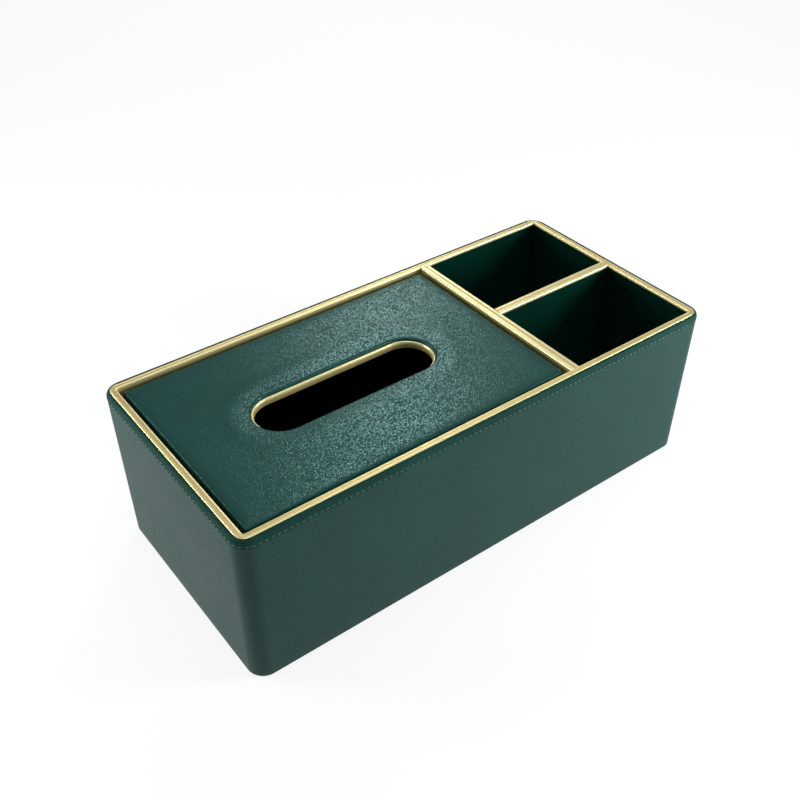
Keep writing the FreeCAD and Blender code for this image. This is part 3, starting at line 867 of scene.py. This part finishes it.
class TISSUEBOX_OT_lid_cover(bpy.types.Operator):
    """Make the lid's padded leather, rolled over its edge and down into the slot"""

    bl_idname = "tissue_box.lid_cover"
    bl_label = "Lid Cover"

    SLOT_RINGS = (1.2, 1.8, 2.6, 3.5, 4.5, 5.6, 6.8, 8.0, 9.2, 10.5, 12.0, 13.5, 15.0, 17.0)
    EDGE_RINGS = (7.0, 5.5, 4.2, 3.2, 2.4, 1.9)
    BETWEEN_STEPS = 12
    ROLL_STEPS = 6
    SKIRT = 0.5 * MM
    SLOT_SKIRT = 2.0 * MM
    DIP_REACH = 5.0 * MM
    SWELL_CREST = 9.5 * MM
    SWELL_REACH = 5.0 * MM
    FALL_REACH = 5.0 * MM
    RIPPLE = 0.05 * MM
    RIPPLES_PER_METRE = 55.0

    def execute(self, context):
        plan = LidPlan()

        def point(spoke, kind, offset, height, padded):
            spot = self.place(plan, spoke, kind, offset)
            if padded:
                height += self.top(plan, spot)
            return raised(spot + plan.middle, height)

        cover = tube_object("lid_cover", plan.spokes, self.section(), point,
                            lid_leather_finish())
        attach(cover, "lid")
        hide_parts("lid_leather")
        return {"FINISHED"}

    def section(self):
        """One spoke's section: (measured from, offset, height, whether from the padded top).

        Any other height is above the floor.
        """
        bottom = lid_low.z
        under = foam_high.z
        slot_roll = sizes().slot_roll
        lid_roll = sizes().lid_roll
        section = [("slot", 0.0, bottom, False), ("slot", 0.0, bottom + self.SLOT_SKIRT, False)]
        section += [("slot", slot_roll * (1.0 - cosine), slot_roll * (sine - 1.0), True)
                    for sine, cosine in quarter_turn(self.ROLL_STEPS)[:-1]]
        section += [("slot", offset * MM, 0.0, True) for offset in self.SLOT_RINGS]
        section += [("between", step / self.BETWEEN_STEPS, 0.0, True)
                    for step in range(1, self.BETWEEN_STEPS)]
        section += [("edge", offset * MM, 0.0, True) for offset in self.EDGE_RINGS]
        section += [("edge", lid_roll * (1.0 - sine), lid_roll * (cosine - 1.0), True)
                    for sine, cosine in quarter_turn(self.ROLL_STEPS)]
        inside = LEATHER - sizes().lid_tuck
        section += [(kind, offset, height, False) for kind, offset, height in (
            ("edge", 0.0, bottom + self.SKIRT), ("edge", 0.0, bottom), ("edge", inside, bottom),
            ("edge", inside, under), ("slot", LEATHER, under), ("slot", LEATHER, bottom))]
        return section

    def place(self, plan, spoke, kind, offset):
        if kind == "slot":
            return plan.slot_spot(spoke, offset)
        if kind == "edge":
            return plan.edge_spot(spoke, offset)
        inner = plan.slot_spot(spoke, self.SLOT_RINGS[-1] * MM)
        return inner.lerp(plan.edge_spot(spoke, self.EDGE_RINGS[0] * MM), offset)

    def top(self, plan, point):
        """Height of the padded top: a swell round the slot and a fall towards the edge."""
        away = plan.slot_distance(point)
        dip = sizes().slot_dip * math.exp(-(max(away, 0.0) / self.DIP_REACH) ** 2)
        swell = sizes().slot_swell * math.exp(-((away - self.SWELL_CREST) / self.SWELL_REACH) ** 2)
        inside = plan.edge_distance(point)
        fall = sizes().lid_fall * (1.0 - smooth_step(inside, 0.0, self.FALL_REACH))
        ripple = noise.noise(point * self.RIPPLES_PER_METRE) * self.RIPPLE
        return lid_high.z - dip + swell - fall + ripple


# ---- finishes of the CAD pieces

class TISSUEBOX_OT_side_skin(bpy.types.Operator):
    """Wrap the leather round the four sides and turn it in under the base"""

    bl_idname = "tissue_box.side_skin"
    bl_label = "Side Leather"

    CORNER_STEPS = 16
    RUN_STEPS = 12
    RISES = 12
    HEEL_STEPS = 5
    TUCK_UP = 0.5 * MM
    BAND_CLEARANCE = 0.02 * MM

    def execute(self, context):
        upper = rim_outline()
        lower = RoundedOutline(HALF_LENGTH, HALF_WIDTH, sizes().base_corner)
        walks = zip(*[outline.walk(self.CORNER_STEPS, self.RUN_STEPS)
                      for outline in (upper, lower)])

        def point(walked, inset, height):
            high, low = walked
            share = clamp_share(height / rim_low.z)
            return raised(lower.at(low, inset)[0].lerp(upper.at(high, inset)[0], share), height)

        sides = tube_object("side_leather_wrap", walks, self.section(), point,
                            side_leather_finish())
        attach(sides, "case")
        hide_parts("side_skin")
        return {"FINISHED"}

    def section(self):
        """Inset and height round the leather, from its top behind the rim band."""
        top = rim_low.z + self.TUCK_UP
        low = skin_low.z
        heel = sizes().heel
        inner = SKIN_INSET + LEATHER
        start = sizes().band_lean + self.BAND_CLEARANCE
        edge = top - CLOSE_RING
        section = [(inner, top), (start, top)]
        for step in range(self.RISES + 1):
            share = step / self.RISES
            height = edge + (low + heel - edge) * share
            section.append((start + sizes().side_lean * share, height))
        foot = start + sizes().side_lean
        section += [(foot + heel * (1.0 - cosine), low + heel * (1.0 - sine))
                    for sine, cosine in quarter_turn(self.HEEL_STEPS, 1)]
        section += [(TURN_IN, low), (TURN_IN, low + LEATHER), (inner + foot, low + LEATHER)]
        return section


class TISSUEBOX_OT_slot_ring(bpy.types.Operator):
    """Turn the metal ring of the slot, with its rolled edge and its flange under the board"""

    bl_idname = "tissue_box.slot_ring"
    bl_label = "Slot Ring"

    OUTER_STEPS = 4
    INNER_STEPS = 8

    def execute(self, context):
        plan = LidPlan()

        def point(spoke, offset, height):
            return raised(plan.slot_spot(spoke, offset) + plan.middle, height)

        # The ring's flanks get painted shade below its bright top band.
        gilding = gold("gold_ring", 1.0, ring_high.z - RING_BRIGHT, flank_end=RING_FLANK)
        ring = tube_object("slot_ring_turned", plan.spokes, self.section(), point, gilding)
        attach(ring, "lid")
        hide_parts("slot_ring")
        return {"FINISHED"}

    def section(self):
        """Offset outside the slot's edge and height, round the ring from its flange."""
        low = ring_low.z
        top = ring_high.z
        flange = ring_high.x - LID_X - sizes().slot_length / 2
        roll_out = sizes().ring_roll_out
        outer = -RING_GAP
        crest = outer - roll_out
        inner = -RING_WALL
        section = [(inner, low + CLOSE_RING), (inner, low), (flange, low),
                   (flange, low + BACKING), (0.0, low + BACKING),
                   (outer, low + BACKING + RING_GAP), (outer, top - roll_out)]
        section += [(outer - roll_out * (1.0 - cosine), top - roll_out * (1.0 - sine))
                    for sine, cosine in quarter_turn(self.OUTER_STEPS, 1)]
        section += [(crest + (inner - crest) * sine,
                     top - sizes().ring_roll_in * (1.0 - cosine))
                    for sine, cosine in quarter_turn(self.INNER_STEPS, 1)]
        return section


class TISSUEBOX_OT_trim(bpy.types.Operator):
    """Finish the metal frame and its two bars"""

    bl_idname = "tissue_box.trim"
    bl_label = "Metal Trim"

    def execute(self, context):
        middle = TRIM_INSET + TRIM_WIDTH / 2
        top = trim_high.z
        dress(gold("gold_frame", 1.0, top, inset_place, middle), "top_frame")
        dress(gold("gold_crossbar", 0.0, top, axis_place(0), CROSSBAR_X), "crossbar")
        dress(gold("gold_divider", 1.0, top, axis_place(1), DIVIDER_Y), "divider_bar")
        return {"FINISHED"}


class TISSUEBOX_OT_linings(bpy.types.Operator):
    """Finish the compartments, the tissue chamber and the underside of the lid"""

    bl_idname = "tissue_box.linings"
    bl_label = "Linings"

    def execute(self, context):
        green = cloth("green_suede", colours().green_lining, fibre=0.25 * MM,
                      relief=0.08 * MM, sheen=0.04, sheen_tint=(0.30, 0.55, 0.42, 1.0))
        dress(green, "front_compartment_lining", "back_compartment_lining")
        black = cloth("black_lining", colours().black_lining, fibre=0.2 * MM,
                      relief=0.05 * MM, sheen=0.02, sheen_tint=(0.5, 0.5, 0.5, 1.0))
        dress(black, "chamber_lining", "lid_backing")
        # Painted shade: the ledges under the lid's edge get the black lining, so the gap round the
        # lid shows dark.
        dress(black, *[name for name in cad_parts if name.startswith("ledge_board")])
        return {"FINISHED"}


class TISSUEBOX_OT_carcass(bpy.types.Operator):
    """Finish the boards, the lid's foam and the felt under the case"""

    bl_idname = "tissue_box.carcass"
    bl_label = "Boards, Foam and Felt"

    def execute(self, context):
        boards = [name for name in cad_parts
                  if name.endswith("_board") or name.startswith("corner_post")]
        dress(board_finish(), *boards)
        dress(foam_finish(), "lid_foam")
        felt = cloth("felt", colours().felt, fibre=0.45 * MM, relief=0.2 * MM, sheen=0.05,
                     sheen_tint=(0.6, 0.6, 0.6, 1.0))
        dress(felt, "base_felt")
        return {"FINISHED"}


# ---- stage

CAMERA_PLACE = Vector((-0.26041, -0.33319, 0.39189))
CAMERA_YAW = -36.88
CAMERA_PITCH = 38.41
CAMERA_ROLL = -0.10
CAMERA_LENS = 46.6
CAMERA_SENSOR = 36.0
CAMERA_NEAREST = 0.01
FLOOR_REACH = 6.0
FLOOR_WHITE = 0.8
FLOOR_GRAIN_SCALE = 300.0

# The walls are whitest up to WALL_FOOT and dim above WALL_TOP, as heights on a unit sphere round
# the box, and lit only from WALL_BEHIND to WALL_AHEAD of the view.  The key is a round glow.
WALL_FOOT = 0.10
WALL_TOP = 0.30
WALL_WHITE = 0.42
WALL_DIM = 0.02
WALL_BEHIND = 0.0
WALL_AHEAD = 0.6
VIEW_DIRECTION = Vector((0.60, 0.80, 0.0))
KEY_DIRECTION = Vector((-0.10, -0.15, 0.98)).normalized()
KEY_EDGE = 0.74
KEY_CORE = 0.93
KEY_LEVEL = 1.75

# Each lamp: name, place, target, width, height and watts.
LAMPS = (
    ("back_strip", (0.60, 0.83, 0.95), (0.0, 0.0, 0.05), 0.22, 0.60, 3.7),
    ("left_panel", (-0.52, 0.37, 0.16), (-0.14, 0.05, 0.07), 0.3, 0.2, 2.6),
    ("left_edge_panel", (-0.38, 0.28, 0.24), (-0.14, 0.03, 0.07), 0.25, 0.2, 0.38),
    ("front_right_panel", (0.44, -0.40, 0.22), (0.14, -0.06, 0.04), 0.2, 0.2, 4.0),
)


def hang_lamp(name, place, target, width, height, watts):
    """A soft rectangular lamp, aimed at a point."""
    light = bpy.data.lights.new(name, "AREA")
    light.shape = "RECTANGLE"
    light.size = width
    light.size_y = height
    light.energy = watts
    holder = add_object(name, light)
    holder.location = place
    aim = Vector(target) - Vector(place)
    holder.rotation_euler = aim.to_track_quat("-Z", "Y").to_euler()


class TISSUEBOX_OT_stage(bpy.types.Operator):
    """Set the floor, the lamps, the surroundings and the camera"""

    bl_idname = "tissue_box.stage"
    bl_label = "Stage"

    def execute(self, context):
        self.lay_floor()
        for lamp in LAMPS:
            hang_lamp(*lamp)
        self.surround(context.scene)
        self.set_camera(context.scene)
        context.scene.view_settings.view_transform = "Standard"
        return {"FINISHED"}

    def lay_floor(self):
        material, tree, surface = new_material("floor")
        grain = noise_at(tree, object_place(tree), FLOOR_GRAIN_SCALE, 3.0)
        fill_inputs(tree, surface, {
            "Base Color": shaded(tree, grain, colours().floor, darkest=0.985),
            "Roughness": 0.9, "Specular IOR Level": 0.0})
        self.whiten(tree, surface)
        corners = [(x * FLOOR_REACH, y * FLOOR_REACH, 0.0)
                   for x, y in ((-1, -1), (1, -1), (1, 1), (-1, 1))]
        floor = mesh_object("floor", corners, [(0, 1, 2, 3)], material, smooth=False)

    def whiten(self, tree, surface):
        """Shows the floor near white to the camera and in reflections, with a pale shadow."""
        seen = 0.0
        light = add_node(tree, "LightPath").outputs
        for ray in ("Is Camera Ray", "Is Glossy Ray", "Is Transmission Ray"):
            seen = calculate(tree, "MAXIMUM", seen, light[ray])
        white = add_node(tree, "Emission", {"Color": WHITE, "Strength": 1.0})
        blend = add_node(tree, "MixShader", {0: times(tree, seen, FLOOR_WHITE),
                                             1: surface.outputs[0], 2: white.outputs[0]})
        output = next(each for each in tree.nodes if each.type == "OUTPUT_MATERIAL")
        fill_inputs(tree, output, {"Surface": blend.outputs[0]})

    def surround(self, scene):
        """White walls near the horizon, dim upper walls, and a soft key behind the viewer.

        The camera itself sees white all round.
        """
        world = bpy.data.worlds.new("studio")
        world.use_nodes = True
        tree = world.node_tree
        tree.nodes.clear()
        sky = add_node(tree, "TexCoord").outputs["Generated"]
        height = add_node(tree, "SeparateXYZ", {0: sky}).outputs[2]
        beyond, toward_key = (
            vector_work(tree, "DOT_PRODUCT", {0: sky, 1: direction})["Value"]
            for direction in (VIEW_DIRECTION, KEY_DIRECTION))
        belt = spread(tree, height, WALL_TOP, WALL_FOOT)
        ahead = spread(tree, beyond, WALL_BEHIND, WALL_AHEAD)
        walls = plus(tree, times(tree, times(tree, belt, ahead), WALL_WHITE), WALL_DIM)
        key = spread(tree, toward_key, KEY_EDGE, KEY_CORE, to_high=KEY_LEVEL)
        strength = calculate(tree, "MAXIMUM", plus(tree, walls, key),
                             add_node(tree, "LightPath").outputs["Is Camera Ray"])
        background = add_node(tree, "Background", {"Color": WHITE, "Strength": strength})
        add_node(tree, "OutputWorld", {0: background.outputs[0]})
        scene.world = world

    def set_camera(self, scene):
        data = bpy.data.cameras.new("camera")
        data.lens = CAMERA_LENS
        data.sensor_width = CAMERA_SENSOR
        data.clip_start = CAMERA_NEAREST
        camera = add_object("camera", data)
        turn, tilt, roll = (
            Matrix.Rotation(math.radians(angle), 3, axis) for angle, axis in
            ((CAMERA_YAW, "Z"), (90.0 - CAMERA_PITCH, "X"), (CAMERA_ROLL, "Z")))
        camera.rotation_euler = (turn @ tilt @ roll).to_euler()
        camera.location = CAMERA_PLACE
        scene.camera = camera


# ---- add-on

OPERATORS = (
    TISSUEBOX_OT_side_skin,
    TISSUEBOX_OT_rim_band,
    TISSUEBOX_OT_stitches,
    TISSUEBOX_OT_lid_cover,
    TISSUEBOX_OT_slot_ring,
    TISSUEBOX_OT_trim,
    TISSUEBOX_OT_linings,
    TISSUEBOX_OT_carcass,
    TISSUEBOX_OT_stage,
)


class TISSUEBOX_PT_panel(bpy.types.Panel):
    """Sizes, colours and steps of the tissue box"""

    bl_label = "Tissue Box"
    bl_idname = "TISSUEBOX_PT_panel"
    bl_space_type = "VIEW_3D"
    bl_region_type = "UI"
    bl_category = "Tissue Box"

    def draw(self, context):
        for heading, group in (("Sizes", sizes()), ("Colours", colours())):
            box = self.layout.box()
            box.label(text=heading)
            for name in group.__annotations__:
                box.prop(group, name)
        steps = self.layout.column(align=True)
        for operator in OPERATORS:
            steps.operator(operator.bl_idname)


CLASSES = (TissueBoxSizes, TissueBoxColours, *OPERATORS, TISSUEBOX_PT_panel)


def register():
    for cls in CLASSES:
        bpy.utils.register_class(cls)
    bpy.types.Scene.tissue_box_sizes = bpy.props.PointerProperty(type=TissueBoxSizes)
    bpy.types.Scene.tissue_box_colours = bpy.props.PointerProperty(type=TissueBoxColours)


def unregister():
    del bpy.types.Scene.tissue_box_colours
    del bpy.types.Scene.tissue_box_sizes
    for cls in reversed(CLASSES):
        bpy.utils.unregister_class(cls)


def main():
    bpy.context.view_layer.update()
    register()
    for operator in OPERATORS:
        family, name = operator.bl_idname.split(".")
        getattr(getattr(bpy.ops, family), name)()


if __name__ == "__main__":
    main()
